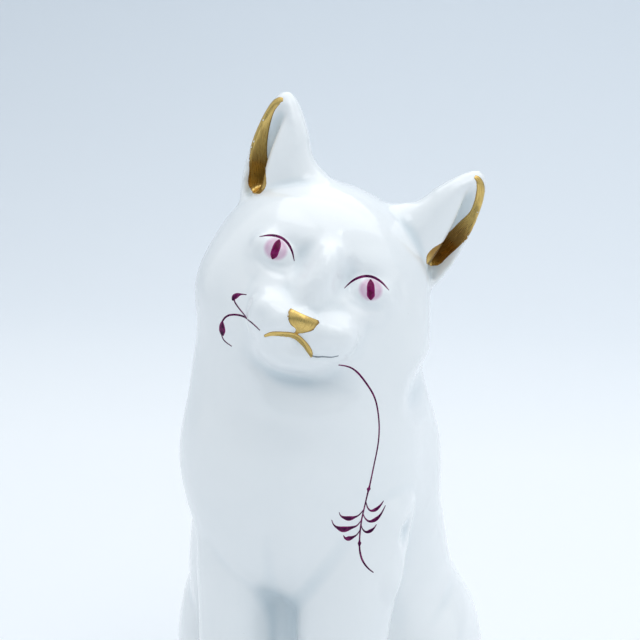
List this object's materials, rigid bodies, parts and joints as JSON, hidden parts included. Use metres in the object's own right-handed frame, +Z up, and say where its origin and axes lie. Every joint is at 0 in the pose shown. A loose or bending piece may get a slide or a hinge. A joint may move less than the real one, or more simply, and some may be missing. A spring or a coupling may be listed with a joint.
{
  "type": "seated cat figurine",
  "caption": "Seated white porcelain cat with its head tilted, gilded ears, nose and mouth, and fine enamel sprigs on its cheek and chest.",
  "frame": {"origin": "centre of the footprint's bounding box, on the surface that the figurine stands on", "axes": "+Z up, -Y to the cat's front, +X to the cat's own left"},
  "size_m": [0.1026, 0.1134, 0.1972],
  "materials": {
    "glaze": "glossy white glazed porcelain, faintly blue in the hollows",
    "biscuit": "unglazed, dry, slightly warm white",
    "gold": "fired-on bright gold, brushed on by hand and worn at the edges",
    "enamel": "glossy overglaze enamel, dark purple to magenta"
  },
  "bodies": {
    "root": {"torso_casting": "glaze", "head_casting": "glaze", "ear_left": "glaze", "ear_right": "glaze", "foreleg_left": "glaze", "foreleg_right": "glaze", "tail": "glaze", "base_plate": "biscuit", "nose_gilding": "gold", "mouth_gilding": "gold", "ear_gilding_left": "gold", "ear_gilding_right": "gold", "lid_line_left": "enamel", "lid_line_right": "enamel", "pupil_left": "enamel", "pupil_right": "enamel", "cheek_sprig": "enamel", "chest_sprig": "enamel"}
  },
  "joints": []
}
